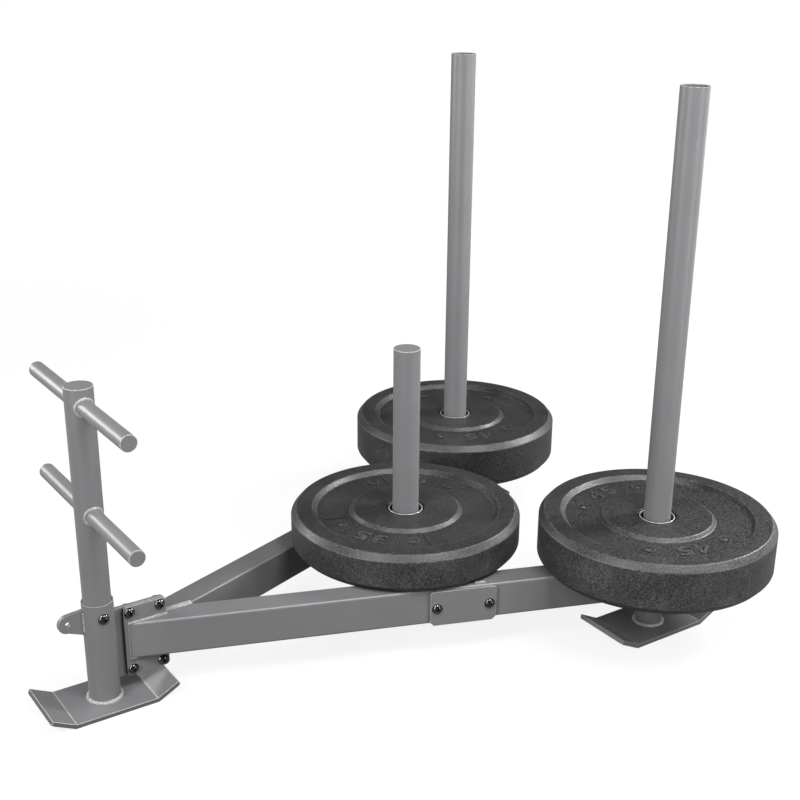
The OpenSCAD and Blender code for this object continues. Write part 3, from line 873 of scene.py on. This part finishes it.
# The floor glows nearly white, and the lamps add the rest of its light, and with it the shadow.
# Further off, as a share of fade_reach, it is fully white. In reflections it is dim near the sled.
pale = bpy.data.materials.new("pale_floor")
pale.use_nodes = True
tree = pale.node_tree
tree.nodes.clear()
camera_ray, mirrored = ray_kinds(tree)
spot = Wire(tree, tree.nodes.new("ShaderNodeTexCoord").outputs["Object"])
far_off = spot.node("ShaderNodeVectorMath", {"operation": "LENGTH"}, {0: spot}, output=1)
far_off = far_off * (1 / fade_reach)
seen = camera_ray + mirrored * (far_off.between(0.15, 0.5) * far_share + mirror_share)
glow = seen * (1 - lit_share + far_off.between(0.12, 0.4) * lit_share)
matt = seen.node("ShaderNodeBsdfDiffuse", {}, {"Color": (lit_share, lit_share, lit_share, 1)})
light = seen.node("ShaderNodeEmission", {}, {"Color": white, "Strength": glow})
both = seen.node("ShaderNodeAddShader", {}, {0: matt, 1: light})
end = tree.nodes.new("ShaderNodeOutputMaterial")
both.feeds(end, "Surface")
mesh.materials.append(pale)

# The surroundings are white for the camera. In reflections they are dim, and palest low down.
world = bpy.data.worlds.new("studio")
bpy.context.scene.world = world
world.use_nodes = True
tree = world.node_tree
backdrop = tree.nodes["Background"]
backdrop.inputs["Color"].default_value = white
camera_ray, mirrored = ray_kinds(tree)
direction = Wire(tree, tree.nodes.new("ShaderNodeTexCoord").outputs["Generated"])
height = direction.node("ShaderNodeSeparateXYZ", {}, {0: direction}, output=2)
walls = 1 - height.between(0.1, 0.55)
skyline = 1 - height.between(0.0, 0.2)
seen = camera_ray + mirrored * (walls * mirror_share + skyline * far_share)
(seen + fill).feeds(backdrop, "Strength")


def soft_lamp(name, place, target, width, height, power):
    """A rectangular soft lamp that hangs at a place and faces a target, in metres and watts."""
    light = bpy.data.lights.new(name, "AREA")
    light.shape = "RECTANGLE"
    light.size = width
    light.size_y = height
    light.energy = power
    lamp = bpy.data.objects.new(name, light)
    lamp.location = place
    lamp.visible_camera = False
    lamp.rotation_mode = "QUATERNION"
    lamp.rotation_quaternion = (Vector(target) - Vector(place)).to_track_quat("-Z", "Y")
    bpy.context.scene.collection.objects.link(lamp)


soft_lamp("key_lamp", (-1.6, -0.9, 2.6), (0.5, 0, 0.3), 1.2, 1.2, 48)
soft_lamp("left_strip", (-2.43, -1.02, 0.95), (0.7, -0.2, 0.5), 0.3, 1.8, 38)
soft_lamp("front_lamp", (0.75, -1.75, 2.9), (0.5, 0, 0.3), 1.2, 0.8, 63)
soft_lamp("right_strip", (1.38, -1.56, 0.8), (0.98, -0.3, 0.6), 0.2, 1.5, 9)
soft_lamp("back_lamp", (-0.8, 1.5, 0.95), (0, 0, 0.45), 0.5, 0.5, 17)
soft_lamp("right_lamp", (3.4, -0.2, 0.9), (0.9, 0, 0.4), 1.6, 1.6, 8)
soft_lamp("high_right_lamp", (3.05, -0.75, 1.95), (0.9, 0, 0.3), 0.7, 0.7, 72)

# The camera, fitted to points of the sled. Its axis meets the picture axis_px below the top.
focal_px = 1280.94
frame_px = 800
sensor = 36.0
axis_px = 426.07
azimuth = radians(-33.866)
pitch = radians(21.3603)
roll = radians(0.4754)
stand = Vector((-642.09, -1875.34, 1266.82)) * mm

camera = bpy.data.cameras.new("camera")
camera.sensor_width = sensor
camera.lens = focal_px * sensor / frame_px
camera.shift_y = (axis_px - frame_px / 2) / frame_px
camera.clip_end = floor_size
right = Vector((cos(azimuth), sin(azimuth), 0))
ahead = Vector((-sin(azimuth), cos(azimuth), 0))
up = Vector((0, 0, 1))
look = ahead * cos(pitch) - up * sin(pitch)
head = up * cos(pitch) + ahead * sin(pitch)
rolled_right = right * cos(roll) + head * sin(roll)
rolled_head = head * cos(roll) - right * sin(roll)
turned_to = Matrix((rolled_right, rolled_head, -look)).transposed()
viewer = bpy.data.objects.new("camera", camera)
viewer.matrix_world = Matrix.Translation(stand) @ turned_to.to_4x4()
bpy.context.scene.collection.objects.link(viewer)
bpy.context.scene.camera = viewer
bpy.context.scene.view_settings.view_transform = "Standard"
